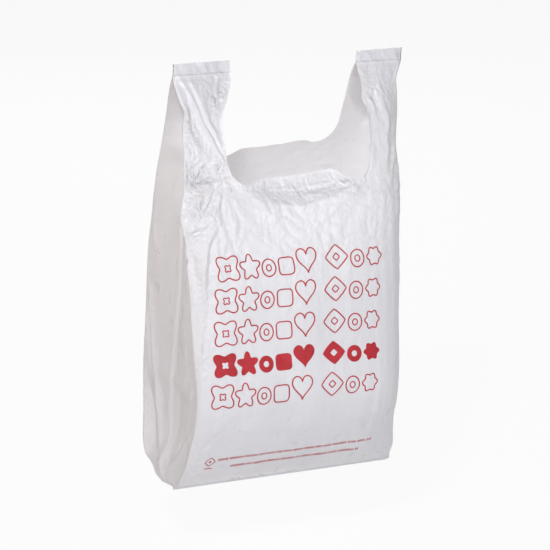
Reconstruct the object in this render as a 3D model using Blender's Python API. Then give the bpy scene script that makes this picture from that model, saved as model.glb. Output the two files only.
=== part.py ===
"""A gusseted film carrier bag with two loop handles, hanging open by its handles.

The bag is one tube of film. It is folded in at both sides, sealed across the bottom, sealed across
the top of each handle, and cut out between the handles. The origin is the middle of the handle
tops: x runs to the right of the front panel, the front faces -y, and the bag hangs down z.
"""
import bpy
import numpy as np

# Flat bag, in metres
BAG_WIDTH = 0.292
GUSSET = 0.165
HUNG_HEIGHT = 0.5263
WALL = 0.0005
HANDLE_WIDTH = 0.065
CUT_OFFSET = 0.0055
NECK_DEPTH = 0.127
NECK_CORNER = 0.027
TOP_SEAL = 0.0125
TOP_SEAL_THICK = 0.003
BOTTOM_SEAL = 0.005
BOTTOM_SEAL_THICK = 0.003
LAYER_STEP = 0.00075
HAIRPIN = 0.0016

# Widths of the film that wrap round the left and the right corner of the front and back panels
WRAP_LEFT = 0.045
WRAP_RIGHT = 0.090
BACK_WRAP = 0.055

# How much of the front's gathers and turns the back takes
BACK_GATHER = 0.6
BACK_TURN = 0.8

# The open shape, from the bottom seal up. Heights are shares of the hung height, the depths are
# shares of half a gusset, and the shifts are metres from the flat bag's left edge. The turns are
# how far, in degrees, the front film swings round at its left and its right fold. The two
# gathers are the shares of its width that the front of each handle loses to its pleats.
SHAPE = [
    # height  front   back    front    back     left   right  gathers
    (0.0066, 0.0061, 0.0061, 0.0000, 0.0000, 0.0, 0.0, 0.00, 0.00),
    (0.0120, 0.100, 0.520, 0.0000, -0.0050, 4.0, 8.0, 0.00, 0.00),
    (0.0200, 0.170, 0.660, 0.0000, -0.0080, 7.0, 15.0, 0.00, 0.00),
    (0.0340, 0.275, 0.745, 0.0000, -0.0090, 12.0, 26.0, 0.00, 0.00),
    (0.0620, 0.420, 0.830, 0.0000, -0.0085, 19.0, 44.0, 0.00, 0.00),
    (0.0950, 0.560, 0.885, 0.0000, -0.0080, 26.0, 58.0, 0.00, 0.00),
    (0.1430, 0.730, 0.945, -0.0005, -0.0080, 32.0, 70.0, 0.00, 0.00),
    (0.1900, 0.880, 0.985, -0.0005, -0.0085, 35.0, 76.0, 0.00, 0.00),
    (0.2660, 0.995, 0.995, -0.0005, -0.0080, 38.0, 84.0, 0.00, 0.00),
    (0.3800, 0.994, 0.994, -0.0055, -0.0050, 38.0, 77.0, 0.00, 0.00),
    (0.5320, 0.985, 0.985, -0.0110, -0.0020, 38.0, 68.0, 0.00, 0.00),
    (0.6460, 0.970, 0.970, -0.0160, 0.0040, 36.0, 58.0, 0.06, 0.00),
    (0.7220, 0.880, 0.880, -0.0120, 0.0060, 30.0, 54.0, 0.20, 0.06),
    (0.7980, 0.690, 0.690, -0.0070, 0.0070, 20.0, 52.0, 0.30, 0.12),
    (0.8740, 0.440, 0.440, -0.0015, 0.0050, 12.0, 40.0, 0.35, 0.12),
    (0.9300, 0.230, 0.230, -0.0010, 0.0020, 6.0, 13.0, 0.14, 0.19),
    (0.9600, 0.090, 0.090, -0.0010, 0.0005, 2.0, 4.0, 0.02, 0.07),
    (0.9762, 0.0091, 0.0091, 0.0000, 0.0000, 0.0, 0.0, 0.00, 0.00),
    (1.0000, 0.0091, 0.0091, 0.0000, 0.0000, 0.0, 0.0, 0.00, 0.00),
]

# Where across the front the left and the right gather draw the film in, as shares of the bag width
GATHERED = [
    (0.0, 0.0, 0.0),
    (0.20, 0.20, 0.0),
    (0.29, 0.265, 0.0),
    (0.42, 0.25, 0.0),
    (0.58, 0.14, 0.0),
    (0.75, 0.0, 0.0),
    (0.82, 0.0, 0.02),
    (1.0, 0.0, 0.20),
]

# How far the gusset keeps its own width as it closes on the bottom seal, how far it slants with
# the two folds that hold it, and how far the inner layers of a handle lie towards its outer layers
TUCK = [(0.0, 0.0), (0.10, 0.22), (0.20, 0.50), (0.29, 1.0), (1.0, 1.0)]
SLANT = [(0.0, 1.0), (0.78, 1.0), (0.93, 0.0), (1.0, 0.0)]
PARTING = [(0.0, 0.0), (0.775, 0.0), (0.82, 0.35), (0.87, 0.60), (0.93, 0.62), (0.9762, 0.5), (1.0, 0.5)]

# Soft folds pulled into the film: where they start and end (share of the panel width, share of
# the hung height), how wide they are and how far they stand out, in metres
FRONT_FOLDS = [
    ((0.05, 0.93), (0.26, 0.74), 0.012, 0.0050),
    ((0.01, 0.86), (0.17, 0.70), 0.011, -0.0040),
    ((0.11, 0.66), (0.10, 0.44), 0.012, 0.0030),
    ((0.22, 0.730), (0.78, 0.735), 0.010, -0.0035),
    ((0.80, 0.735), (0.70, 0.62), 0.014, 0.0030),
]


def along(table, column, at):
    """A smooth run through one column of a table, with no overshoot."""
    at = np.asarray(at, float)
    knots = np.array([row[0] for row in table], float)
    values = np.array([row[column] for row in table], float)
    slopes = np.diff(values) / np.diff(knots)
    tangents = np.zeros(len(knots))
    tangents[0], tangents[-1] = slopes[0], slopes[-1]
    before, after = slopes[:-1], slopes[1:]
    agree = before * after > 0
    total = np.where(agree, before + after, 1.0)
    tangents[1:-1] = np.where(agree, 2.0 * before * after / total, 0.0)
    at = np.clip(at, knots[0], knots[-1])
    index = np.clip(np.searchsorted(knots, at, side="right") - 1, 0, len(knots) - 2)
    span = knots[index + 1] - knots[index]
    t = (at - knots[index]) / span
    return (
        values[index] * (1 + 2 * t) * (1 - t) ** 2
        + tangents[index] * span * t * (1 - t) ** 2
        + values[index + 1] * t**2 * (3 - 2 * t)
        - tangents[index + 1] * span * t**2 * (1 - t)
    )


def soft_folds(u, share):
    """How far the soft folds push the front film out, at a distance u across and a share of the height."""
    across = u / BAG_WIDTH
    out = np.zeros_like(across)
    for (u0, s0), (u1, s1), width, rise in FRONT_FOLDS:
        start = np.array([u0 * BAG_WIDTH, s0 * HUNG_HEIGHT])
        run = np.array([u1 * BAG_WIDTH, s1 * HUNG_HEIGHT]) - start
        length = np.hypot(*run)
        dx = across * BAG_WIDTH - start[0]
        dz = share * HUNG_HEIGHT - start[1]
        t = np.clip((dx * run[0] + dz * run[1]) / length**2, 0.0, 1.0)
        away = np.hypot(dx - t * run[0], dz - t * run[1])
        out += rise * np.exp(-((away / width) ** 2)) * np.sin(np.pi * np.clip(t, 0.04, 0.96)) ** 0.5
    return out


def half_gap(share):
    """Half the gap between the two layers that meet at a fold."""
    return along([(0.0, 0.0012), (0.93, 0.0012), (0.9762, LAYER_STEP / 2), (1.0, LAYER_STEP / 2)], 1, share)


def panel(u, share, front):
    """Points of the front or the back panel, u metres from its left fold at a share of the height."""
    steps = (np.arange(64) + 0.5) / 64
    depth = along(SHAPE, 1 if front else 2, share) * GUSSET / 2
    shift = along(SHAPE, 3 if front else 4, share)
    turn_left = np.radians(along(SHAPE, 5, share))
    turn_right = np.radians(along(SHAPE, 6, share)) * (1.0 if front else BACK_TURN)
    near, far = (WRAP_LEFT, WRAP_RIGHT) if front else (BACK_WRAP, BACK_WRAP)
    run = np.asarray(u)[..., None] * steps
    angle = -turn_left[..., None] * np.clip(1 - run / near, 0, 1) ** 2
    angle = angle + turn_right[..., None] * np.clip(1 - (BAG_WIDTH - run) / far, 0, 1) ** 2
    x = shift - BAG_WIDTH / 2 + u * np.cos(angle).mean(-1)
    for side in (1, 2):
        held = 1.0 if front else BACK_GATHER
        x = x - held * along(SHAPE, 6 + side, share) * along(GATHERED, side, u / BAG_WIDTH) * BAG_WIDTH
    y = -depth + u * np.sin(angle).mean(-1)
    return np.stack([x, y if front else -y], -1)


def gusset(g, share, left):
    """Points of a side gusset, g metres from its front fold at a share of the height."""
    g = np.asarray(g, float)
    edge = np.zeros_like(g) if left else np.full_like(g, BAG_WIDTH)
    front, back = panel(edge, share, True), panel(edge, share, False)
    apart = back - front
    apart[..., 0] *= along(SLANT, 1, share)
    width = np.hypot(apart[..., 0], apart[..., 1])
    inset = np.sqrt(np.clip((GUSSET / 2) ** 2 - (width / 2) ** 2, 0, None)) * along(TUCK, 1, share)
    across = apart / width[..., None]
    inward = np.stack([across[..., 1], -across[..., 0]], -1) * (1 if left else -1)
    valley = (front + back) / 2 + inward * inset[..., None]
    at_front = g <= GUSSET / 2
    fold = np.where(at_front[..., None], front, back)
    t = np.where(at_front, g, GUSSET - g) / (GUSSET / 2)
    side = np.where(at_front, 1.0, -1.0)
    parted = valley + (fold - valley) * along(PARTING, 1, share)[..., None] * np.array([0.0, 1.0])
    point = fold * (1 - t)[..., None] + parted * t[..., None]
    gap = half_gap(share) * np.clip(t * (GUSSET / 2) / HAIRPIN, 0, 1)
    point[..., 1] += side * gap * (1 - t * (share < 0.775))
    return point


def film(u, z):
    """The film at u metres round the tube from its front-left fold, at a height z above the seal."""
    share = z / HUNG_HEIGHT
    gap = half_gap(share)
    spans = (BAG_WIDTH, BAG_WIDTH + GUSSET, 2 * BAG_WIDTH + GUSSET)
    out = np.zeros(u.shape + (3,))
    out[..., 2] = z - HUNG_HEIGHT
    for index in range(4):
        low = (0.0,) + spans
        high = spans + (2 * (BAG_WIDTH + GUSSET),)
        here = (u >= low[index] - 1e-9) & (u < high[index] - 1e-9)
        if not here.any():
            continue
        v, s = u[here] - low[index], share[here]
        if index == 0:
            point = panel(v, s, True)
            near = np.minimum(v, BAG_WIDTH - v)
            point[:, 1] -= gap[here] * np.clip(near / HAIRPIN, 0, 1)
            point[:, 1] -= soft_folds(v, s) * np.clip(near / 0.01, 0, 1)
        elif index == 1:
            point = gusset(v, s, False)
        elif index == 2:
            point = panel(BAG_WIDTH - v, s, False)
            near = np.minimum(v, BAG_WIDTH - v)
            point[:, 1] += gap[here] * np.clip(near / HAIRPIN, 0, 1)
        else:
            point = gusset(GUSSET - v, s, True)
        out[here, :2] = point
    return out


def columns():
    """The lines of the grid round the tube: (u, height of the cut edge, is it on a handle strip)."""
    left, right = HANDLE_WIDTH + CUT_OFFSET, HANDLE_WIDTH - CUT_OFFSET
    neck = HUNG_HEIGHT - NECK_DEPTH
    base = neck + NECK_CORNER

    def near_fold(strip, reach):
        """Distances from a fold across a handle strip and round the corner of the cut, up to reach."""
        found = [(0.0, base, True), (HAIRPIN, base, True)]
        found += [(strip * k / 4, base, True) for k in (1, 2, 3, 4)]
        for angle in np.radians((22.5, 45.0, 67.5, 90.0)):
            at = strip + NECK_CORNER * (1 - np.cos(angle))
            if at < reach - 0.002:
                found.append((at, neck + NECK_CORNER * (1 - np.sin(angle)), False))
        return found

    def at_valley(strip):
        angle = np.arccos(1 - (GUSSET / 2 - strip) / NECK_CORNER)
        return (GUSSET / 2, neck + NECK_CORNER * (1 - np.sin(angle)), False)

    ahead = near_fold(left, BAG_WIDTH / 2)
    behind = near_fold(right, BAG_WIDTH / 2)
    middle = np.linspace(ahead[-1][0], BAG_WIDTH - behind[-1][0], 5)[1:-1]
    front = ahead + [(at, neck, False) for at in middle]
    front += [(BAG_WIDTH - at, top, strip) for at, top, strip in behind[:0:-1]]
    back = [(BAG_WIDTH - at, top, strip) for at, top, strip in front[:0:-1]]
    back = [(0.0, base, True)] + back
    sides = []
    for strip in (right, left):
        half = near_fold(strip, GUSSET / 2)
        side = half + [at_valley(strip)]
        side += [(GUSSET - at, top, kept) for at, top, kept in half[:0:-1]]
        sides.append(side)
    found, start = [], 0.0
    for run, width in ((front, BAG_WIDTH), (sides[0], GUSSET), (back, BAG_WIDTH), (sides[1], GUSSET)):
        found += [(start + at, top, kept) for at, top, kept in run]
        start += width
    return found


def sheet():
    """The whole film as one open sheet of quads: points and faces."""
    grid = columns()
    u = np.array([at for at, _, _ in grid])
    top = np.array([height for _, height, _ in grid])
    kept = np.array([strip for _, _, strip in grid])
    count = len(grid)
    low = 0.0066 * HUNG_HEIGHT
    shares = np.array([0.0, 0.009, 0.030, 0.065, 0.10, 0.145, 0.19, 0.24, 0.29, 0.345, 0.40, 0.455, 0.51,
                       0.565, 0.62, 0.675, 0.725, 0.775, 0.82, 0.865, 0.91, 0.955, 1.0])
    points = [film(u, low + (top - low) * share) for share in shares]
    handle_rows = np.linspace(HUNG_HEIGHT - NECK_DEPTH + NECK_CORNER, HUNG_HEIGHT - TOP_SEAL, 8)[1:]
    handle_rows = list(handle_rows) + [HUNG_HEIGHT - TOP_SEAL * 0.7]
    points += [film(u, np.full(count, z)) for z in handle_rows]
    points = np.concatenate(points)
    index = np.arange(count)
    after = (index + 1) % count
    faces = []
    for row in range(len(shares) - 1):
        a, b = row * count, (row + 1) * count
        faces += [(a + i, a + j, b + j, b + i) for i, j in zip(index, after)]
    strip = kept & kept[after]
    for row in range(len(shares) - 1, len(shares) - 1 + len(handle_rows)):
        a, b = row * count, (row + 1) * count
        faces += [(a + i, a + j, b + j, b + i) for i, j in zip(index[strip], after[strip])]
    return points, faces, gathered(u, count)


def gathered(u, count):
    """Pairs of bottom points that the seal draws together: each gusset ends in three points."""
    starts = (BAG_WIDTH, 2 * BAG_WIDTH + GUSSET)
    pairs = {}
    for start in starts:
        marks = [start, start + GUSSET / 2, start + GUSSET]
        for i in range(count):
            at = u[i] if u[i] > 0 or start < BAG_WIDTH + GUSSET else u[i] + 2 * (BAG_WIDTH + GUSSET)
            if start + 1e-9 < at < start + GUSSET - 1e-9:
                nearest = min(marks, key=lambda mark: abs(mark - at))
                goal = int(np.argmin(np.abs(u - nearest % (2 * (BAG_WIDTH + GUSSET)))))
                pairs[i] = goal
    return pairs


def slab(name, x0, x1, thick, z0, z1):
    """A flat sealed strip of film."""
    bpy.ops.mesh.primitive_cube_add(size=1.0, location=((x0 + x1) / 2, 0.0, (z0 + z1) / 2))
    made = bpy.context.object
    made.name = name
    made.scale = (x1 - x0, thick, z1 - z0)
    bpy.ops.object.transform_apply(location=False, rotation=False, scale=True)
    return made


def join(body, other):
    """Fuses another solid into the body."""
    fuse = body.modifiers.new(other.name, "BOOLEAN")
    fuse.operation = "UNION"
    fuse.solver = "MANIFOLD"
    fuse.object = other
    other.hide_render = True
    other.hide_viewport = True


def film_material():
    material = bpy.data.materials.new("white film")
    material.use_nodes = True
    shader = material.node_tree.nodes["Principled BSDF"]
    shader.inputs["Base Color"].default_value = (0.80, 0.80, 0.82, 1.0)
    shader.inputs["Roughness"].default_value = 0.35
    material.diffuse_color = (0.80, 0.80, 0.82, 1.0)
    return material


for old in list(bpy.data.objects):
    bpy.data.objects.remove(old, do_unlink=True)

points, faces, drawn = sheet()
for here, goal in drawn.items():
    points[here] = points[goal]
keep = {i: drawn.get(i, i) for i in range(len(points))}
faces = [tuple(dict.fromkeys(keep[i] for i in face)) for face in faces]
faces = [face for face in faces if len(face) > 2]
used = sorted({i for face in faces for i in face})
place = {old: new for new, old in enumerate(used)}
mesh = bpy.data.meshes.new("carrier_bag")
mesh.from_pydata([tuple(points[i]) for i in used], [], [tuple(place[i] for i in face) for face in faces])
mesh.update()
bag = bpy.data.objects.new("carrier_bag", mesh)
bpy.context.scene.collection.objects.link(bag)
bpy.context.view_layer.objects.active = bag

solid = bag.modifiers.new("film thickness", "SOLIDIFY")
solid.thickness = WALL
solid.offset = 0.0
solid.use_even_offset = False

edge = BAG_WIDTH / 2
left_end = -edge + HANDLE_WIDTH + CUT_OFFSET
right_end = edge - HANDLE_WIDTH + CUT_OFFSET
seal_top = -TOP_SEAL
join(bag, slab("left top seal", -edge - 0.0006, left_end + 0.0006, TOP_SEAL_THICK, seal_top, 0.0))
join(bag, slab("right top seal", right_end - 0.0006, edge + 0.0006, TOP_SEAL_THICK, seal_top, 0.0))
join(bag, slab("bottom seal", -edge - 0.0012, edge + 0.0012, BOTTOM_SEAL_THICK,
               -HUNG_HEIGHT, -HUNG_HEIGHT + BOTTOM_SEAL))

bag.data.materials.append(film_material())
for polygon in bag.data.polygons:
    polygon.use_smooth = True
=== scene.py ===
# %% [markdown]
# # A plastic carrier bag, hanging open by its handles
# The real bag is one tube of very thin white film. It is folded in at both sides, welded across the
# bottom and across the top of each handle, and cut out once between the handles. Nothing is filled
# into it, so all that shows is how one sheet bends, and how light falls on and through it.
# It could come from a cloth simulation, or be sculpted by hand. Here the sheet is a grid of points
# over the flat bag's own two coordinates, because each fold, crease and motif then has a place in
# metres on the flat film, as it has for the bag's maker, and the film can't stretch by accident.
#
# ## Load the frame
# The imported solid is the measure for everything here: the sheet replaces it and stays in its place.

# %% Load the frame
import math
import bpy
import numpy as np
from mathutils import Matrix, Vector, noise


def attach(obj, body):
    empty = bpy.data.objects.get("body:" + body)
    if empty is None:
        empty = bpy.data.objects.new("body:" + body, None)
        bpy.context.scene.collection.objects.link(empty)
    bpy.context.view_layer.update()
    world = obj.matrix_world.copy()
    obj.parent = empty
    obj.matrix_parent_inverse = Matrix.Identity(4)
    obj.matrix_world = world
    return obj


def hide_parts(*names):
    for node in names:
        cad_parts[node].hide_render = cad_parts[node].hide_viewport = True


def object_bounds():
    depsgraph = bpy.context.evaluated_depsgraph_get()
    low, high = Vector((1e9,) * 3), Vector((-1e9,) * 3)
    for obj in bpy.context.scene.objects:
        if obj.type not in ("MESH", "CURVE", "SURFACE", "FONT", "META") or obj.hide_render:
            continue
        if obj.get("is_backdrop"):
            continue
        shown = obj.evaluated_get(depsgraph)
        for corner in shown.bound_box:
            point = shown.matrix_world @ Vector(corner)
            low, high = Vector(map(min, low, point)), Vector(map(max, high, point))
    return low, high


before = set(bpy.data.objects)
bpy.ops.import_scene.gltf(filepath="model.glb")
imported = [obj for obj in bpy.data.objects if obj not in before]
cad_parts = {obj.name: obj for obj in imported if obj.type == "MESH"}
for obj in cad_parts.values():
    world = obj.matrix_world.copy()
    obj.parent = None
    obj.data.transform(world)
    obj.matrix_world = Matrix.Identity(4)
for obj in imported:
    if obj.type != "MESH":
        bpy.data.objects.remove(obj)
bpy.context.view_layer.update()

# %% [markdown]
# ## The camera
# The bag is seen from a little to the left of its front and from a little above. A long lens keeps
# the two handles nearly parallel, as a product photographer would have it. The camera could be moved
# by hand or held by a Track To constraint. Its axes are worked out from two angles and a small roll
# instead, so that each number means something by itself.

# %% Set up the camera
HUNG_HEIGHT = 0.5263
AZIMUTH, ELEVATION, ROLL = math.radians(-23.0), math.radians(16.861), math.radians(0.6946)
DISTANCE = 3.0
LENS = 163.02

aim = Vector((-0.0149, 0.0, 0.2584 - HUNG_HEIGHT))
back = Vector((math.sin(AZIMUTH) * math.cos(ELEVATION), -math.cos(AZIMUTH) * math.cos(ELEVATION),
               math.sin(ELEVATION)))
level = Vector((math.cos(AZIMUTH), math.sin(AZIMUTH), 0.0))
upright = back.cross(level)
right = level * math.cos(ROLL) + upright * math.sin(ROLL)
up = upright * math.cos(ROLL) - level * math.sin(ROLL)
camera = bpy.data.objects.new("camera", bpy.data.cameras.new("camera"))
camera.data.lens = LENS
camera.data.sensor_width = 36.0
camera.data.clip_end = 50.0
turned = Matrix((right, up, back)).transposed().to_4x4()
camera.matrix_world = Matrix.Translation(aim + back * DISTANCE) @ turned
bpy.context.scene.collection.objects.link(camera)
bpy.context.scene.camera = camera
print("camera at", [round(v, 3) for v in camera.matrix_world.translation])

# %% [markdown]
# ## The flat bag
# A bag like this is sold by its flat sizes: the width of the front, the width of one gusset and the
# height. The cut between the handles has a depth and a corner radius. These could be typed wherever
# they are used, but they stand together here, because every later step takes its sizes from them.

# %% Sizes of the flat bag
BAG_WIDTH = 0.292
GUSSET = 0.165
TUBE = 2 * (BAG_WIDTH + GUSSET)
HANDLE_WIDTH = 0.065
# the cut isn't centred: the left handle is wider and the right one narrower by this much
CUT_OFFSET = 0.0055
NECK_DEPTH = 0.127
NECK_CORNER = 0.027
TOP_SEAL = 0.0125
BOTTOM_SEAL = 0.0035
# half the room between two layers, the width over which it opens at a fold, and half of it in a weld
FOLD_GAP = 0.0004
HAIRPIN = 0.0014
SEAL_LAYER = 0.0002

LEFT_STRIP = HANDLE_WIDTH + CUT_OFFSET
RIGHT_STRIP = HANDLE_WIDTH - CUT_OFFSET
NECK = HUNG_HEIGHT - NECK_DEPTH
STRIP_BASE = NECK + NECK_CORNER
WELD_FOOT = HUNG_HEIGHT - TOP_SEAL
print("tube", round(TUBE, 3), "m round, neck at", round(NECK, 4), "m above the bottom edge")

# %% [markdown]
# ## Smooth runs through a few numbers
# Hanging film has no corners up its height: each bend swells and fades. Such a run could be a curve
# object or a curve node. Two small functions do it with plain numbers, so that the same run can be
# asked for at any point of the sheet. The second one never swings past its numbers, because a run
# that does would make the film wave between them.

# %% Helpers for smooth runs
def smooth(value, low, high):
    """Runs from 0 to 1 between two values, with no corner."""
    t = np.clip((value - low) / (high - low), 0, 1)
    return t * t * (3 - 2 * t)


def along(table, column, at):
    """A smooth run through one column of a table, with no overshoot."""
    at = np.asarray(at, float)
    knots = np.array([row[0] for row in table], float)
    values = np.array([row[column] for row in table], float)
    slopes = np.diff(values) / np.diff(knots)
    tangents = np.zeros(len(knots))
    tangents[0], tangents[-1] = slopes[0], slopes[-1]
    before, after = slopes[:-1], slopes[1:]
    agree = before * after > 0
    total = np.where(agree, before + after, 1.0)
    tangents[1:-1] = np.where(agree, 2.0 * before * after / total, 0.0)
    at = np.clip(at, knots[0], knots[-1])
    index = np.clip(np.searchsorted(knots, at, side="right") - 1, 0, len(knots) - 2)
    span = knots[index + 1] - knots[index]
    t = (at - knots[index]) / span
    return (values[index] * (1 + 2 * t) * (1 - t) ** 2 + tangents[index] * span * t * (1 - t) ** 2
            + values[index + 1] * t**2 * (3 - 2 * t) - tangents[index + 1] * span * t**2 * (1 - t))


print("a run at its middle:", float(smooth(0.5, 0.0, 1.0)), float(along([(0, 0), (1, 1), (2, 1)], 1, 0.5)))

# %% [markdown]
# ## How the open bag stands at each height
# When the bag hangs open, its front and back panels part and the gussets unfold between them. One
# table says, for a run of heights, how far each panel has moved out, how it is shifted sideways,
# how much its film swings round at its two folds, and how much width the pleats of the handles take.
# A loft between a few outlines could give the same form, but in a table each measure can be set by
# itself, and the panel's width stays what it is.

# %% Table of the open shape
SHAPE = [
    # share of the height, front out and back out (of half a gusset), front and back shift in metres,
    # turn at the left and right fold in degrees, share gathered in the left and right handle
    (0.0066, 0.0061, 0.0061, 0.0000, 0.0000, 0.0, 0.0, 0.00, 0.00),
    (0.0120, 0.100, 0.520, 0.0000, -0.0030, 4.0, 8.0, 0.00, 0.00),
    (0.0200, 0.170, 0.660, 0.0000, -0.0040, 7.0, 15.0, 0.00, 0.00),
    (0.0340, 0.275, 0.745, 0.0000, -0.0045, 12.0, 26.0, 0.00, 0.00),
    (0.0620, 0.420, 0.830, 0.0000, -0.0065, 19.0, 44.0, 0.00, 0.00),
    (0.0950, 0.560, 0.885, 0.0000, -0.0080, 26.0, 58.0, 0.00, 0.00),
    (0.1430, 0.730, 0.945, -0.0005, -0.0080, 32.0, 70.0, 0.00, 0.00),
    (0.1900, 0.880, 0.985, -0.0005, -0.0085, 35.0, 76.0, 0.00, 0.00),
    (0.2660, 0.995, 0.995, -0.0005, -0.0080, 38.0, 84.0, 0.00, 0.00),
    (0.3800, 0.994, 0.994, -0.0055, -0.0050, 38.0, 77.0, 0.00, 0.00),
    (0.5320, 0.985, 0.985, -0.0110, -0.0020, 38.0, 68.0, 0.00, 0.00),
    (0.6460, 0.970, 0.970, -0.0160, 0.0040, 36.0, 58.0, 0.06, 0.00),
    (0.7220, 0.880, 0.880, -0.0120, 0.0060, 30.0, 54.0, 0.20, 0.06),
    (0.7980, 0.690, 0.690, -0.0070, 0.0070, 20.0, 52.0, 0.30, 0.12),
    (0.8740, 0.440, 0.440, -0.0015, 0.0050, 12.0, 40.0, 0.35, 0.12),
    (0.9300, 0.230, 0.230, -0.0010, 0.0020, 6.0, 13.0, 0.14, 0.19),
    (0.9600, 0.090, 0.090, -0.0010, 0.0005, 2.0, 4.0, 0.02, 0.07),
    (0.9762, 0.0091, 0.0091, 0.0000, 0.0000, 0.0, 0.0, 0.00, 0.00),
    (1.0000, 0.0091, 0.0091, 0.0000, 0.0000, 0.0, 0.0, 0.00, 0.00),
]
print(len(SHAPE), "heights in the shape table")

# %% [markdown]
# ## Where the pleats and the layers lie
# In the handles the film is drawn together in pleats, and each gusset's two layers lie behind the
# strips. Smaller tables say where across a panel the pleats take their width, how far up a gusset is
# fully tucked in, and how far its layers part above the neck. They could be more columns of the first
# table, but each is needed at a few heights only.

# %% Tables of pleats and layers
# share of the panel's width from its left fold, width taken up to there: left and right handle
GATHERED = [
    (0.0, 0.0, 0.0), (0.20, 0.20, 0.0), (0.29, 0.265, 0.0), (0.42, 0.25, 0.0),
    (0.58, 0.14, 0.0), (0.75, 0.0, 0.0), (0.82, 0.0, 0.02), (1.0, 0.0, 0.20),
]
# share of the height, share of the full tuck
TUCK = [(0.0, 0.0), (0.10, 0.22), (0.20, 0.50), (0.29, 1.0), (1.0, 1.0)]
# share of the height, how much of the sideways shift from front to back a gusset follows
SLANT = [(0.0, 1.0), (0.78, 1.0), (0.93, 0.0), (1.0, 0.0)]
# share of the height, how far the layers of the left and right gusset part above the neck
PARTING = [(0.0, 0.0, 0.0), (0.775, 0.0, 0.0), (0.82, 0.35, 0.75), (0.87, 0.60, 0.96), (0.93, 0.62, 0.96),
           (0.9762, 0.5, 0.5), (1.0, 0.5, 0.5)]
# metres over which the film swings round beside a fold: front left, front right and at the back
WRAP_LEFT, WRAP_RIGHT, BACK_WRAP = 0.045, 0.090, 0.055
# the back has these shares of the front's pleats and of its turn at the right
BACK_GATHER, BACK_TURN = 0.6, 0.8
print("most gathered:", max(row[7] for row in SHAPE), "left,", max(row[8] for row in SHAPE), "right")

# %% [markdown]
# ## The panels
# Film bends but hardly stretches. A bent plane or a lattice would change its width with the bend, so
# a panel is drawn by walking across it: at each step the heading turns a little, and the step's
# length stays the same. The front panel swings round at its left and right folds, and pleats draw it
# together in the handles.

# %% Walk across a panel
WALK_STEPS = 48


def panel(u, share, front):
    """Points (x, y) of the front or the back panel, u metres from its left fold."""
    steps = (np.arange(WALK_STEPS) + 0.5) / WALK_STEPS
    depth = along(SHAPE, 1 if front else 2, share) * GUSSET / 2
    shift = along(SHAPE, 3 if front else 4, share)
    turn_left = np.radians(along(SHAPE, 5, share))
    turn_right = np.radians(along(SHAPE, 6, share)) * (1.0 if front else BACK_TURN)
    near, far = (WRAP_LEFT, WRAP_RIGHT) if front else (BACK_WRAP, BACK_WRAP)
    held = 1.0 if front else BACK_GATHER
    run = np.asarray(u)[..., None] * steps
    angle = -turn_left[..., None] * np.clip(1 - run / near, 0, 1) ** 2
    angle = angle + turn_right[..., None] * np.clip(1 - (BAG_WIDTH - run) / far, 0, 1) ** 2
    x = shift - BAG_WIDTH / 2 + u * np.cos(angle).mean(-1)
    for side in (1, 2):
        x = x - held * along(SHAPE, 6 + side, share) * along(GATHERED, side, u / BAG_WIDTH) * BAG_WIDTH
    y = -depth + u * np.sin(angle).mean(-1)
    return np.stack([x, y if front else -y], -1)


ends, half_way = np.array([0.0, BAG_WIDTH]), np.array([0.5, 0.5])
print("front folds half way up:", panel(ends, half_way, True).round(3).tolist())

# %% [markdown]
# ## Room between the layers
# At a fold two layers of the film touch. Drawn at the same place they would flicker through each
# other, so each keeps a hair's breadth of room, and less in the welds, where they are fused. A
# Solidify modifier could part them too, but a film with two faces would hide the light that comes
# through.

# %% The gap at a fold
def fold_gap(share):
    """Half the gap between the two layers that meet at a fold."""
    return along([(0.0, FOLD_GAP), (0.93, FOLD_GAP), (0.9762, SEAL_LAYER), (1.0, SEAL_LAYER)], 1, share)


print("gap half way up and in the weld:", float(fold_gap(0.5)), float(fold_gap(1.0)))

# %% [markdown]
# ## The gussets
# A gusset is two strips hinged at a valley fold. It could be posed by hand, with a bone in the
# valley. But its front and back folds are fixed by the panels, so the valley's place follows from the
# gusset's own width, as in a folded paper lantern. Near the bottom weld it closes to a point, and in a
# handle its layers part and lie behind the strips. The right one is nearly flat beside the neck,
# where the open bag pulls it straight.

# %% Fold a gusset
# the share of the height where the layers part, and how much of its tuck the right one loses
LAYERS_PART = 0.775
RIGHT_PULLED = 0.8


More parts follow.
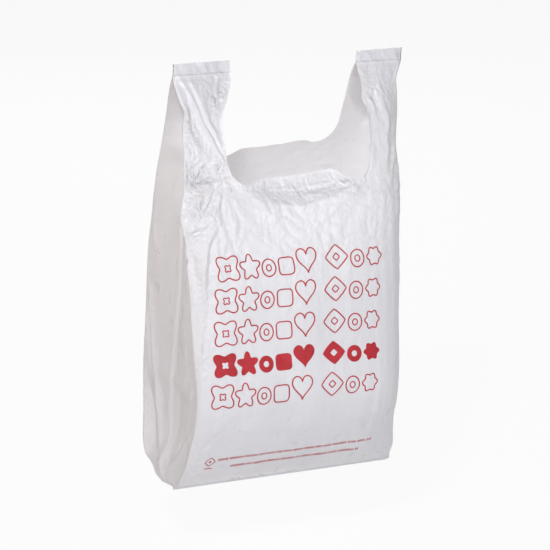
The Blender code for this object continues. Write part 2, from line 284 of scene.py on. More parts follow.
def gusset(g, share, left):
    """Points (x, y) of a side gusset, g metres from its front fold."""
    g = np.asarray(g, float)
    edge = np.zeros_like(g) if left else np.full_like(g, BAG_WIDTH)
    front, rear = panel(edge, share, True), panel(edge, share, False)
    apart = rear - front
    apart[..., 0] *= along(SLANT, 1, share)
    width = np.hypot(apart[..., 0], apart[..., 1])
    inset = np.sqrt(np.clip((GUSSET / 2) ** 2 - (width / 2) ** 2, 0, None)) * along(TUCK, 1, share)
    if not left:
        near_neck = smooth(share, 0.62, 0.74) * (1 - smooth(share, 0.80, 0.90))
        inset = inset * (1 - RIGHT_PULLED * near_neck)
    across = apart / width[..., None]
    inward = np.stack([across[..., 1], -across[..., 0]], -1) * (1 if left else -1)
    valley = (front + rear) / 2 + inward * inset[..., None]
    at_front = g <= GUSSET / 2
    fold = np.where(at_front[..., None], front, rear)
    t = np.where(at_front, g, GUSSET - g) / (GUSSET / 2)
    side = np.where(at_front, 1.0, -1.0)
    apart_by = along(PARTING, 1 if left else 2, share)[..., None]
    parted = valley + (fold - valley) * apart_by * np.array([0.0, 1.0])
    point = fold * (1 - t)[..., None] + parted * t[..., None]
    gap = fold_gap(share) * np.clip(t * (GUSSET / 2) / HAIRPIN, 0, 1)
    point[..., 1] += side * gap * (1 - t * (share < LAYERS_PART))
    in_handle = smooth(share, 0.74, 0.80)
    if left:
        pleats = along(SHAPE, 7, share) * in_handle
        point[..., 0] -= pleats * along(GATHERED, 1, t * GUSSET / 2 / BAG_WIDTH) * BAG_WIDTH
    else:
        pleats = along(SHAPE, 8, share) * in_handle * np.where(at_front, 1.0, BACK_GATHER)
        taken = along(GATHERED, 2, 1.0) - along(GATHERED, 2, 1 - t * GUSSET / 2 / BAG_WIDTH)
        point[..., 0] += pleats * taken * BAG_WIDTH
    return point


across_gusset = np.array([0.0, GUSSET / 2, GUSSET])
print("left gusset half way up:", gusset(across_gusset, np.full(3, 0.5), True).round(3).tolist())

# %% [markdown]
# ## Once round the tube
# Two panels and two gussets meet at four folds. They could be four objects that are joined later, but
# one function for the whole film shares the folds between them, so the sheet is closed all round.

# %% The whole film
def film(u, z):
    """The film at u metres round the tube from its front-left fold, at a height z above the bottom edge."""
    share = z / HUNG_HEIGHT
    gap = fold_gap(share)
    starts = (0.0, BAG_WIDTH, BAG_WIDTH + GUSSET, 2 * BAG_WIDTH + GUSSET, TUBE)
    out = np.zeros(u.shape + (3,))
    out[..., 2] = z - HUNG_HEIGHT
    for index in range(4):
        here = (u >= starts[index] - 1e-9) & (u < starts[index + 1] - 1e-9)
        v, s = u[here] - starts[index], share[here]
        near = np.clip(np.minimum(v, BAG_WIDTH - v) / HAIRPIN, 0, 1)
        if index == 0:
            point = panel(v, s, True)
            point[:, 1] -= gap[here] * near
        elif index == 1:
            point = gusset(v, s, False)
        elif index == 2:
            point = panel(BAG_WIDTH - v, s, False)
            point[:, 1] += gap[here] * near
        else:
            point = gusset(GUSSET - v, s, True)
        out[here, :2] = point
    return out


test = film(np.array([0.0, BAG_WIDTH / 2]), np.array([0.2, 0.2]))
print("front fold and middle at 0.2 m up:", test.round(3).tolist())

# %% [markdown]
# ## The grid of the flat film
# The sheet is a grid whose columns run up the film and whose rows run round the tube. An even grid
# would need far more points, so the columns are closer on the front and on the left gusset, which are
# seen. A column stops at the cut edge, and only the columns of the handle strips go on to the top.
# The corner of the cut gets columns at equal angles, so that its curve stays round.

# %% Space the columns of a panel
def cut_height(v, strip):
    """Height of the cut edge at a distance v from the nearest fold, beside a strip this wide."""
    cos = np.clip(1 - (v - strip) / NECK_CORNER, 0, 1)
    return np.where(v <= strip + 1e-9, STRIP_BASE, NECK + NECK_CORNER * (1 - np.sqrt(1 - cos**2)))


def half_panel(strip, reach, pitch, corner=9):
    """Distances from a fold: close together at the fold, then across the strip, the cut's corner and on."""
    across = np.linspace(HAIRPIN, strip, max(3, round(strip / pitch)))
    angles = np.linspace(0, math.pi / 2, corner)[1:]
    round_corner = strip + NECK_CORNER * (1 - np.cos(angles))
    found = np.concatenate([[0.0], across, round_corner[round_corner < reach - pitch / 2]])
    rest = np.linspace(found[-1], reach, max(2, round((reach - found[-1]) / pitch) + 1))[1:]
    return np.concatenate([found, rest])


def run_of_columns(width, strips, pitch):
    """Columns across a panel or a gusset: (distance, height of the cut edge, is it on a strip)."""
    first, second = (half_panel(strip, width / 2, pitch) for strip in strips)
    v = np.concatenate([first, width - second[-2:0:-1]])
    low = v <= width / 2
    cut = np.where(low, cut_height(v, strips[0]), cut_height(width - v, strips[1]))
    kept = np.where(low, v <= strips[0] + 1e-9, width - v <= strips[1] + 1e-9)
    return v, cut, kept


print("cut edge at the middle:", float(cut_height(BAG_WIDTH / 2, LEFT_STRIP)), "m above the bottom edge")

# %% [markdown]
# ## Columns and rows
# The four parts of the tube get their columns one after the other. The rows are even up to a little
# below the neck, then they follow the cut edge, and in the handles they are even again, with a few
# close rows at each weld. Cutting the neck out with a Boolean would leave ragged faces beside the
# edge. Rows that follow it give the thin film a clean rim.

# %% Columns round the tube and rows up the film
FINE, MIDDLE, COARSE = 0.0018, 0.0024, 0.0062
runs = [
    (0.0, run_of_columns(BAG_WIDTH, (LEFT_STRIP, RIGHT_STRIP), FINE)),
    (BAG_WIDTH, run_of_columns(GUSSET, (RIGHT_STRIP, RIGHT_STRIP), COARSE)),
    (BAG_WIDTH + GUSSET, run_of_columns(BAG_WIDTH, (RIGHT_STRIP, LEFT_STRIP), COARSE)),
    (2 * BAG_WIDTH + GUSSET, run_of_columns(GUSSET, (LEFT_STRIP, LEFT_STRIP), MIDDLE)),
]
column_u = np.concatenate([start + run[0] for start, run in runs])
column_cut = np.concatenate([run[1] for _, run in runs])
column_kept = np.concatenate([run[2] for _, run in runs])
EVEN_TOP = 0.360
EVEN_ROWS, CUT_ROWS, HANDLE_ROWS = 190, 34, 46
low_rows = np.concatenate([[0.0, 0.0018, BOTTOM_SEAL, 0.0055, 0.008],
                           np.linspace(0.008, EVEN_TOP, EVEN_ROWS)[1:]])
cut_rows = np.linspace(0, 1, CUT_ROWS)[1:]
strip_rows = np.concatenate([np.linspace(STRIP_BASE, WELD_FOOT - 0.0036, HANDLE_ROWS)[1:],
                             WELD_FOOT - np.array([0.0027, 0.0018, 0.0009, 0.0]),
                             HUNG_HEIGHT - TOP_SEAL * np.array([0.94, 0.75, 0.5, 0.25, 0.0])])
print(len(column_u), "columns,", len(low_rows), "+", len(cut_rows), "+", len(strip_rows), "rows")

# %% [markdown]
# ## The cut edge and the lip
# The edge between the handles isn't quite straight in the open bag. In front it sags by the corners
# and stands up a little right of the middle, and at the back it drops towards the left handle. It
# could be pulled about with a soft brush. Two short tables of heights do it so that each number can
# be read off, and the rows below follow the edge by themselves.

# %% Heights of every grid point
# distance from the front panel's left fold, how far the edge is above or below its straight line
LIP = [(0.0705, 0.0), (0.076, -0.0050), (0.084, -0.0052), (0.097, -0.0036), (0.115, 0.0), (0.152, 0.0006),
       (0.184, 0.0034), (0.190, 0.0040), (0.196, 0.0012), (0.203, -0.0046), (0.212, -0.0078),
       (0.222, -0.0120), (0.228, -0.0130), (0.2325, 0.0)]
# the same for the back panel, from its right fold
BACK_EDGE = [(0.060, 0.0), (0.082, -0.001), (0.0995, 0.0035), (0.124, 0.0008), (0.162, 0.0), (0.168, -0.0005),
             (0.178, -0.0055), (0.190, -0.011), (0.206, -0.010), (0.2215, 0.0)]

cut = column_cut + along(LIP, 1, column_u) + along(BACK_EDGE, 1, column_u - BAG_WIDTH - GUSSET)
grid_z = [np.full(len(column_u), z) for z in low_rows]
grid_z += [EVEN_TOP + (cut - EVEN_TOP) * t for t in cut_rows]
grid_z += [np.full(len(column_u), z) for z in strip_rows]
grid_z = np.array(grid_z)
grid_u = np.broadcast_to(column_u, grid_z.shape).copy()
plain = film(grid_u.ravel(), grid_z.ravel()).reshape(grid_u.shape + (3,))
print("grid", grid_u.shape)

# %% [markdown]
# ## Lines in the film
# Thin film doesn't wave like cloth: it breaks into small flat facets with sharp creases between
# them. Creases could be sculpted, or come from a displacement texture. A function that raises a line
# along a path over the flat film is better here: its place and height are in metres, and as the path
# lies on the film, the crease can't leave it.

# %% Tool for a line
def line(u, z, path, width, rise, sharp=1.2):
    """A raised or sunk line along a path on the flat film. sharp 1 is a knife edge, 2 a soft wave."""
    path = np.array(path)
    steps = np.diff(path, axis=0)
    lengths = np.hypot(*steps.T)
    total, walked = lengths.sum(), 0.0
    best = np.full(u.shape, 1e9)
    place = np.zeros(u.shape)
    for start, step, length in zip(path[:-1], steps, lengths):
        du, dz = u - start[0], z - start[1]
        t = np.clip((du * step[0] + dz * step[1]) / length**2, 0, 1)
        away = np.hypot(du - t * step[0], dz - t * step[1])
        closer = away < best
        place = np.where(closer, (walked + t * length) / total, place)
        best = np.where(closer, away, best)
        walked += length
    fade = np.sin(math.pi * np.clip(place, 0.03, 0.97)) ** 0.6
    return rise * np.exp(-((best / width) ** sharp)) * fade


test = line(np.array([0.0]), np.array([0.0]), [(-1.0, 0.0), (1.0, 0.0)], 1.0, 0.002)
print("a line rises to", float(test[0]), "m")

# %% [markdown]
# ## Patches of facets
# Crumpled film has facets by the dozen. A noise texture would round them off. So a patch is folded
# along a few straight lines in turn, each of which tilts the film on its two sides, and the folds
# fade towards the edge of the patch. The lines are drawn by chance from a fixed seed.

# %% Tool for a patch
CREASE_EDGE = 0.0006


def facets(u, z, centre, reach, slope, count, seed, slant=None):
    """Folds a patch of film along straight lines through it, one after the other."""
    chance = np.random.RandomState(seed)
    du, dz = u - centre[0], z - centre[1]
    fade = np.exp(-((du / reach[0]) ** 2 + (dz / reach[1]) ** 2))
    out = np.zeros(u.shape)
    for _ in range(count):
        if slant is None:
            turn = chance.uniform(0, math.pi)
        else:
            turn = math.radians(slant) + chance.normal(0, 0.28)
        at = chance.uniform(-0.9, 0.9, 2) * np.array(reach)
        away = (du - at[0]) * math.sin(turn) - (dz - at[1]) * math.cos(turn)
        tilt = slope * chance.uniform(0.4, 1.0) * chance.choice([-1, 1])
        local = np.exp(-(away / (0.45 * max(reach))) ** 2)
        out += tilt * np.sqrt(away**2 + CREASE_EDGE**2) * local
    return out * fade


test = facets(np.array([0.0]), np.array([0.0]), (0.0, 0.0), (0.02, 0.02), 0.3, 8, 3)
print("the middle of a patch rises", round(float(test[0]), 4), "m")

# %% [markdown]
# ## Waves of the whole film
# No part of the film is quite flat. A Displace modifier with clouds would do, but it wouldn't know
# which way the film runs. This noise is asked for over the flat film, with one rate across it and
# another up it, so it can be stretched along the bag.

# %% Tool for ripples
def ripples(u, z, across, upward, seed):
    """Gentle unevenness of the whole film: waves this many to the metre across and up."""
    spots = np.stack([u.ravel() * across, z.ravel() * upward, np.full(u.size, seed)], -1)
    return np.array([noise.noise(spot) for spot in spots.tolist()]).reshape(u.shape)


print("ripple at one spot:", ripples(np.array([0.1]), np.array([0.2]), 24.0, 5.0, 1.0).round(3).tolist())

# %% [markdown]
# ## The pleats of the left handle
# The left handle carries a diagonal pleat from its outer top corner to the foot of the cut, with a
# smooth strip beside it. Under its foot the film is crumpled. A random texture would put creases
# anywhere. A list of paths over the flat film puts each where the pull of the handle makes it.

# %% Lines of the left handle
PLEATS = [
    # path on the flat film (from the left fold, above the bottom edge), width, rise, sharpness
    ([(0.006, 0.513), (0.021, 0.484), (0.042, 0.454), (0.059, 0.431), (0.080, 0.403)], 0.0030, 0.0042, 1.1),
    ([(0.011, 0.513), (0.027, 0.483), (0.049, 0.453), (0.066, 0.429), (0.076, 0.412)], 0.0018, -0.0024, 1.1),
    ([(0.016, 0.513), (0.033, 0.482), (0.055, 0.453), (0.070, 0.429)], 0.0026, 0.0028, 1.1),
    ([(0.006, 0.508), (0.016, 0.488), (0.036, 0.459), (0.056, 0.431), (0.070, 0.412)], 0.0020, -0.0022, 1.2),
    ([(0.004, 0.500), (0.022, 0.465), (0.046, 0.430)], 0.0080, -0.0034, 2.2),
    ([(0.001, 0.505), (0.005, 0.478), (0.012, 0.456), (0.022, 0.439), (0.030, 0.423)], 0.0026, 0.0034, 1.1),
    ([(0.026, 0.500), (0.046, 0.470), (0.062, 0.444)], 0.0030, 0.0014, 1.2),
]
CRUMPLES = [
    ([(0.002, 0.421), (0.012, 0.4205), (0.030, 0.420)], 0.0022, -0.0026, 1.0),
    ([(0.029, 0.422), (0.039, 0.415), (0.050, 0.4085)], 0.0020, -0.0034, 1.0),
    ([(0.048, 0.409), (0.062, 0.4105)], 0.0020, -0.0024, 1.0),
    ([(0.049, 0.410), (0.047, 0.399)], 0.0020, -0.0022, 1.0),
    ([(0.028, 0.420), (0.037, 0.431)], 0.0022, -0.0024, 1.0),
    ([(0.030, 0.424), (0.027, 0.412), (0.018, 0.404), (0.002, 0.398)], 0.0030, -0.0036, 1.0),
    ([(0.031, 0.414), (0.046, 0.4165), (0.062, 0.417)], 0.0028, 0.0026, 1.0),
    ([(0.018, 0.405), (0.019, 0.395)], 0.0020, -0.0022, 1.0),
    ([(0.016, 0.397), (0.025, 0.3995), (0.036, 0.400), (0.062, 0.402)], 0.0026, 0.0036, 1.0),
    ([(0.004, 0.387), (0.017, 0.394), (0.034, 0.3955), (0.052, 0.397)], 0.0018, -0.0026, 1.0),
    ([(0.000, 0.381), (0.006, 0.386), (0.018, 0.391)], 0.0024, -0.0024, 1.0),
    ([(0.067, 0.403), (0.061, 0.397), (0.044, 0.389), (0.034, 0.375), (0.023, 0.362), (0.014, 0.348)],
     0.0032, -0.0040, 1.0),
    ([(0.072, 0.400), (0.064, 0.391), (0.052, 0.384), (0.042, 0.370), (0.031, 0.356)], 0.0034, 0.0026, 1.1),
    ([(0.026, 0.398), (0.022, 0.380), (0.014, 0.366)], 0.0034, 0.0032, 1.1),
    ([(0.001, 0.365), (0.006, 0.363), (0.017, 0.362)], 0.0022, -0.0026, 1.0),
    ([(0.002, 0.342), (0.011, 0.346), (0.020, 0.350), (0.032, 0.352), (0.049, 0.354)], 0.0018, -0.0024, 1.0),
    ([(0.003, 0.347), (0.014, 0.351), (0.028, 0.356)], 0.0022, 0.0024, 1.0),
    ([(0.004, 0.3385), (0.016, 0.343), (0.029, 0.347)], 0.0018, -0.0016, 1.0),
]
print(len(PLEATS), "lines in the pleats,", len(CRUMPLES), "in the crumpled film")

# %% [markdown]
# ## The ridge at the left, the lip and the handles' tops
# A soft ridge runs down beside the front-left fold, where the bag was folded in its pack. The lip of
# the neck has fine lines that run to the right handle's foot, and both handles are creased below their
# welds. These are lines too, for the same reason: each has its own place and direction.

# %% Lines of the ridge, the lip and the handles
RIDGE = [
    ([(0.046, 0.357), (0.036, 0.346), (0.029, 0.336), (0.025, 0.322), (0.019, 0.300), (0.014, 0.262)],
     0.0030, 0.0036, 1.0),
    ([(0.046, 0.350), (0.038, 0.340), (0.031, 0.326), (0.026, 0.300), (0.022, 0.262), (0.019, 0.236)],
     0.0030, -0.0034, 1.2),
    ([(0.006, 0.330), (0.008, 0.300), (0.007, 0.270)], 0.0018, -0.0018, 1.0),
    ([(0.011, 0.262), (0.016, 0.2635)], 0.0018, -0.0022, 1.0),
    ([(0.013, 0.262), (0.009, 0.212), (0.0065, 0.178), (0.005, 0.140), (0.004, 0.112)], 0.0030, 0.0028, 1.1),
    ([(0.019, 0.240), (0.012, 0.206), (0.010, 0.182)], 0.0022, -0.0014, 1.0),
    ([(0.018, 0.204), (0.010, 0.191)], 0.0020, 0.0012, 1.0),
    ([(0.059, 0.396), (0.054, 0.378), (0.052, 0.365), (0.054, 0.351), (0.060, 0.335), (0.061, 0.320)],
     0.0036, -0.0022, 1.2),
    ([(0.014, 0.070), (0.029, 0.092), (0.046, 0.109)], 0.0024, -0.0010, 1.1),
]
LIP_LINES = [
    ([(0.236, 0.396), (0.196, 0.366), (0.160, 0.338)], 0.0040, 0.0022, 1.2),
    ([(0.238, 0.388), (0.210, 0.352), (0.186, 0.312)], 0.0045, -0.0018, 1.3),
    ([(0.232, 0.392), (0.186, 0.373), (0.150, 0.366), (0.120, 0.372)], 0.0030, 0.0022, 1.1),
    ([(0.080, 0.398), (0.108, 0.374), (0.118, 0.345)], 0.0050, 0.0018, 1.2),
    ([(0.100, 0.391), (0.150, 0.386), (0.196, 0.391)], 0.0026, 0.0018, 1.0),
    ([(0.132, 0.381), (0.156, 0.3775), (0.166, 0.383), (0.186, 0.385), (0.204, 0.392)], 0.0020, -0.0022, 1.0),
    ([(0.150, 0.3765), (0.168, 0.379), (0.180, 0.377)], 0.0018, 0.0018, 1.0),
    ([(0.186, 0.378), (0.196, 0.389), (0.206, 0.384), (0.214, 0.391)], 0.0018, 0.0020, 1.0),
]
HANDLE_LINES = [
    ([(0.050, 0.513), (0.051, 0.493), (0.057, 0.481)], 0.0018, -0.0024, 1.0),
    ([(0.057, 0.513), (0.053, 0.502), (0.060, 0.484)], 0.0020, 0.0022, 1.0),
    ([(0.061, 0.509), (0.058, 0.494), (0.062, 0.478)], 0.0018, -0.0020, 1.0),
    ([(0.245, 0.513), (0.249, 0.475), (0.250, 0.430)], 0.0034, -0.0014, 1.2),
    ([(0.256, 0.513), (0.262, 0.440), (0.258, 0.380)], 0.0050, 0.0020, 1.4),
    ([(0.238, 0.482), (0.246, 0.474), (0.250, 0.462)], 0.0018, -0.0034, 1.0),
    ([(0.236, 0.476), (0.244, 0.466)], 0.0018, 0.0030, 1.0),
]
FRONT_LINES = PLEATS + CRUMPLES + RIDGE + LIP_LINES + HANDLE_LINES
print(len(FRONT_LINES), "lines on the front")

# %% [markdown]
# ## Crumpled patches of the front
# Where the film was squeezed in the hand it has many small facets, too many to list. Each such patch
# is given by its middle, its reach and how steep its facets are, and a fixed seed draws the folds, so
# the bag comes out the same each time. Broad, shallow patches give the plain film its soft planes.

# %% Patches of the front
FRONT_PATCHES = [
    # centre, reach, slope, number of folds, seed, slant in degrees or None for any
    ((0.026, 0.408), (0.026, 0.018), 0.42, 14, 3, 12),
    ((0.058, 0.412), (0.013, 0.014), 0.40, 8, 5, None),
    ((0.022, 0.374), (0.022, 0.018), 0.34, 8, 11, 30),
    ((0.012, 0.345), (0.016, 0.012), 0.30, 6, 12, 16),
    ((0.013, 0.290), (0.013, 0.050), 0.16, 10, 14, 96),
    ((0.014, 0.205), (0.012, 0.040), 0.13, 8, 17, 100),
    ((0.016, 0.450), (0.012, 0.022), 0.32, 8, 19, 110),
    ((0.057, 0.492), (0.012, 0.016), 0.32, 9, 21, None),
    ((0.040, 0.505), (0.026, 0.010), 0.14, 8, 22, 20),
    ((0.160, 0.386), (0.075, 0.014), 0.16, 22, 23, 8),
    ((0.208, 0.390), (0.018, 0.012), 0.30, 9, 24, None),
    ((0.272, 0.412), (0.012, 0.034), 0.17, 16, 27, 62),
    ((0.252, 0.488), (0.014, 0.022), 0.16, 9, 29, 80),
    ((0.110, 0.350), (0.070, 0.024), 0.060, 14, 31, None),
    ((0.215, 0.335), (0.040, 0.045), 0.075, 16, 33, 50),
    ((0.130, 0.250), (0.120, 0.080), 0.018, 16, 37, 70),
    ((0.030, 0.120), (0.028, 0.070), 0.050, 9, 35, None),
]
print(len(FRONT_PATCHES), "patches on the front")

# %% [markdown]
# ## Raise the front
# All creases are added up as one number for each grid point: how far it rises from the smooth film.
# Each could move the points at once, but then every crease would tilt the next. A second number says
# how crumpled the film is, for the finest creases, which the material draws later.

# %% Creases of the front panel
u, z = grid_u, grid_z
front = u < BAG_WIDTH
rise = np.zeros(u.shape)
worn = np.zeros(u.shape)


def wear(where, across, height, centre, reach, amount):
    """Marks a patch of film as crumpled, for the fine creases of its material."""
    aside, above = (across - centre[0]) / (1.3 * reach[0]), (height - centre[1]) / (1.3 * reach[1])
    worn[where] = np.maximum(worn[where], np.clip(amount, 0, 1) * np.exp(-(aside**2 + above**2)))


for path, width, height, sharp in FRONT_LINES:
    rise[front] += line(u[front], z[front], path, width, height, sharp)
for centre, reach, slope, count, seed, slant in FRONT_PATCHES:
    rise[front] += facets(u[front], z[front], centre, reach, slope, count, seed, slant)
    wear(front, u[front], z[front], centre, reach, 2.6 * slope)
print("front rises from", rise.min().round(4), "to", rise.max().round(4), "m")

# %% [markdown]
# ## The left gusset's creases
# The gusset was folded flat in the pack, so it keeps a few long fold lines beside its valley, and it
# is crumpled where it closes on the bottom weld. The same tools draw them, with places measured from
# the gusset's back fold.

# %% Lines and patches of the left gusset
GUSSET_LINES = [
    # path, width, rise, sharpness
    ([(0.001, 0.258), (0.004, 0.240), (0.016, 0.205), (0.026, 0.160), (0.031, 0.110), (0.036, 0.065), (0.052, 0.028)],
     0.0050, 0.0056, 1.1),
    ([(-0.004, 0.240), (0.007, 0.200), (0.015, 0.160), (0.020, 0.110)], 0.0050, -0.0046, 1.1),
    ([(0.008, 0.345), (0.011, 0.310), (0.018, 0.286)], 0.0036, 0.0030, 1.1),
    ([(0.012, 0.322), (0.040, 0.330)], 0.0030, 0.0024, 1.1),
    ([(0.002, 0.120), (0.014, 0.094), (0.030, 0.040)], 0.0036, -0.0024, 1.1),
    ([(0.150, 0.150), (0.128, 0.122), (0.110, 0.080), (0.108, 0.035)], 0.0050, -0.0050, 1.1),
    ([(0.138, 0.150), (0.122, 0.090), (0.100, 0.050)], 0.0050, 0.0040, 1.2),
    ([(0.152, 0.100), (0.130, 0.060), (0.102, 0.022)], 0.0050, 0.0036, 1.2),
    ([(0.086, 0.345), (0.072, 0.336)], 0.0030, 0.0030, 1.1),
    ([(0.092, 0.338), (0.078, 0.326)], 0.0030, -0.0030, 1.1),
]
GUSSET_PATCHES = [
    # centre, reach, slope, number of folds, seed, slant
    ((0.080, 0.334), (0.016, 0.012), 0.24, 7, 41, 40),
    ((0.024, 0.283), (0.005, 0.006), 0.50, 5, 42, None),
    ((0.030, 0.244), (0.006, 0.005), 0.50, 5, 44, None),
    ((0.014, 0.235), (0.014, 0.045), 0.20, 9, 43, None),
    ((0.020, 0.100), (0.022, 0.050), 0.26, 9, 45, 100),
    ((0.070, 0.030), (0.050, 0.024), 0.20, 14, 47, 70),
    ((0.118, 0.070), (0.020, 0.036), 0.04, 8, 49, 100),
    ((0.050, 0.240), (0.030, 0.160), 0.015, 8, 51, 90),
]
print(len(GUSSET_LINES), "lines and", len(GUSSET_PATCHES), "patches on the left gusset")

# %% [markdown]
# ## The valley fold of the open gusset
# The gusset's old middle fold doesn't vanish when the bag hangs open: it stays as a narrow ridge with
# a groove beside it, which wanders a little. A sharp edge in the mesh could show it, but it would be
# straight, as the grid is. So the ridge is raised from the distance to a wandering line.

# %% Raise the gusset
GUSSET_START = 2 * BAG_WIDTH + GUSSET
# height, distance of the old fold from the gusset's back fold
VALLEY = [(0.030, 0.0825), (0.060, 0.066), (0.092, 0.060), (0.152, 0.070), (0.217, 0.078), (0.268, 0.083),
          (0.335, 0.080), (0.400, 0.0825)]
VALLEY_WIDTH, VALLEY_RISE, VALLEY_GROOVE, VALLEY_SINK = 0.0042, 0.0024, 0.0022, 0.003
side = u > GUSSET_START
in_gusset, side_z = u[side] - GUSSET_START, z[side]
valley_at = along(VALLEY, 1, side_z)
slope_in = np.minimum(in_gusset / valley_at, (TUBE - u[side]) / (GUSSET - valley_at))
still_folded = smooth(side_z, 0.03, 0.10) * (1 - smooth(side_z, 0.34, 0.40))
to_valley = (in_gusset - valley_at) / VALLEY_WIDTH
rise[side] -= VALLEY_SINK * slope_in * still_folded
rise[side] += (VALLEY_RISE * np.exp(-np.abs(to_valley + 0.4) ** 1.2)
               - VALLEY_GROOVE * np.exp(-np.abs(to_valley - 0.9) ** 1.2)) * still_folded
for path, width, height, sharp in GUSSET_LINES:
    rise[side] += line(in_gusset, side_z, path, width, height, sharp)
for centre, reach, slope, count, seed, slant in GUSSET_PATCHES:
    rise[side] += facets(in_gusset, side_z, centre, reach, slope, count, seed, slant)
    wear(side, in_gusset, side_z, centre, reach, 2.0 * slope - 0.2)
print("gusset rises from", rise[side].min().round(4), "to", rise[side].max().round(4), "m")

# %% [markdown]
# ## The film's own unevenness
# Over everything goes a very slight unevenness, stretched along the film, as blown film has from its
# making. Film that was handled more, in the upper half, has more of it. It could be bump in the
# material alone, but the larger waves also bend the bag's outline, so they are in the mesh.

# %% Ripples of the whole film
to_right = np.where(front, smooth(u, 0.14, 0.27), np.where(side, -0.22, 0.4))
used_more = (0.4 + 1.3 * smooth(z, 0.22, 0.36)) * np.where(side, 0.15, 1.0)
LONG_WAVES, STREAKS, DENTS, FINE_DENTS = 0.0014, 0.0008, 0.0012, 0.0009
rise += LONG_WAVES * ripples(u, z, 24.0, 5.0, 1.0)
rise += STREAKS * (0.3 + to_right) * ripples(u, z, 95.0, 9.0, 2.0)
rise += DENTS * used_more * np.abs(ripples(u, z, 70.0, 52.0, 3.0))
rise += FINE_DENTS * used_more * np.abs(ripples(u, z, 165.0, 120.0, 4.0))
print("with ripples, from", rise.min().round(4), "to", rise.max().round(4), "m")

# %% [markdown]
# ## A turned-out fold, the rim and the weld's ridge
# Low on the gusset, beside its back fold, a strip of film is turned out and catches the light. The
# rim of the cut is a fine bead, where the hot knife melted the film, and under each top weld the film
# stands up in a small ridge. They could be separate thin tubes, but all three are the same sheet,
# so they are rises of it.

# %% Turned-out fold, rim and ridge
TURNED_OUT, RIM, WELD_RIDGE = 0.0095, 0.0020, 0.0020
# height, how far from the gusset's back fold the turned-out strip reaches
TURNED_EDGE = [(0.012, 0.060), (0.046, 0.029), (0.094, 0.014), (0.120, 0.002), (0.130, 0.002)]
turned_share = np.clip(1 - in_gusset / along(TURNED_EDGE, 1, side_z), 0, 1)
turned_here = smooth(side_z, 0.010, 0.030) * (1 - smooth(side_z, 0.100, 0.120))
rise[side] += TURNED_OUT * turned_share * turned_here
in_neck = (u > LEFT_STRIP) & (u < BAG_WIDTH - RIGHT_STRIP)
to_strip = np.minimum(np.abs(u - LEFT_STRIP), np.abs(BAG_WIDTH - RIGHT_STRIP - u))
to_cut = np.where(in_neck, np.abs(cut - z), np.hypot(to_strip, np.clip(STRIP_BASE - z, 0, None)))
rise[front] += RIM * np.exp(-to_cut[front] / 0.0016)
under_weld = (WELD_FOOT - 0.0027 - z[front]) / 0.0012
rise[front] += WELD_RIDGE * np.exp(-under_weld**2)
print("in all, from", rise.min().round(4), "to", rise.max().round(4), "m")

# %% [markdown]
# ## Keep the layers apart
# A crease must not push one layer through the next. So the rises fade at the folds, at the welds and
# where the film is hidden behind the handles, and the inner layer of the left handle is held off the
# outer one. Blender's collision settings could do this in a simulation, but here the risky places are
# known, and a fade is exact.

# %% Fade the rises
# how far from a fold the rises are whole again, the share that hidden film loses, the inner layer's room
FOLD_CALM, HIDDEN_CALM, LAYER_ROOM = 0.0045, 0.8, 0.0055
folds = np.array([0.0, BAG_WIDTH, BAG_WIDTH + GUSSET, GUSSET_START, TUBE])
to_fold = np.abs(u[..., None] - folds).min(-1)
rise *= smooth(to_fold, 0.0, FOLD_CALM)
rise *= smooth(z, 0.002, 0.014) * (1 - 0.97 * smooth(z, WELD_FOOT - 0.0018, WELD_FOOT))
behind = ~front
rise[behind] *= 1 - HIDDEN_CALM * smooth(z[behind], NECK - 0.02, STRIP_BASE + 0.01)
inner_layer = side & (TUBE - u < LEFT_STRIP + 0.004)
room = smooth(z, NECK - 0.02, STRIP_BASE) * (1 - smooth(z, 0.480, 0.506))
rise[inner_layer] += LAYER_ROOM * (room * smooth(to_fold, 0.001, 0.018))[inner_layer]
print("after the fades, from", rise.min().round(4), "to", rise.max().round(4), "m")

# %% [markdown]
# ## Push the film out, and lean the lip in
# The rises go along the film's own outward direction, as a Displace modifier's would. It is worked
# out from the grid, because the later steps need the moved points as numbers. Above a soft bend,
# the front film has no pull on it and leans inwards, so it is moved back and a little down.

# %% Move the points
around, upward = np.gradient(plain, axis=1), np.gradient(plain, axis=0)
facing = np.cross(around, upward)
facing /= np.maximum(np.linalg.norm(facing, axis=-1, keepdims=True), 1e-12)
points = plain + facing * rise[..., None]

# distance from the front panel's left fold, height of the soft bend
BEND = [(0.073, 0.405), (0.090, 0.394), (0.109, 0.382), (0.131, 0.372), (0.158, 0.369), (0.187, 0.373),
        (0.204, 0.381), (0.232, 0.394)]
BEND_SOFTNESS, LEAN_BACK, LEAN_DOWN = 0.003, 0.46, 0.09
lean = np.zeros(u.shape)
spread = front & (u > 0.070) & (u < 0.236)
over = z[spread] - along(BEND, 1, u[spread])
lean[spread] = (over + np.sqrt(over**2 + BEND_SOFTNESS**2)) / 2 * smooth(u[spread], 0.070, 0.100)
lean[spread] *= 1 - smooth(u[spread], 0.206, 0.236)
points[..., 1] += LEAN_BACK * lean
points[..., 2] -= LEAN_DOWN * lean
cut_row = len(low_rows) + len(cut_rows) - 1
print("the cut edge leans in by up to", (LEAN_BACK * lean[cut_row].max()).round(4), "m")

# %% [markdown]
# ## The welds, the left fold and the lower corners
# The top welds press all layers together, and the hot bar leaves them a little wavy. The front-left
# fold isn't a straight line: it was crushed under the handle and sways by a few millimetres. The two
# lower corners are rounded, as film is that hangs from a weld. Each is a small push that fades with
# distance, the same thing that proportional editing does by hand.

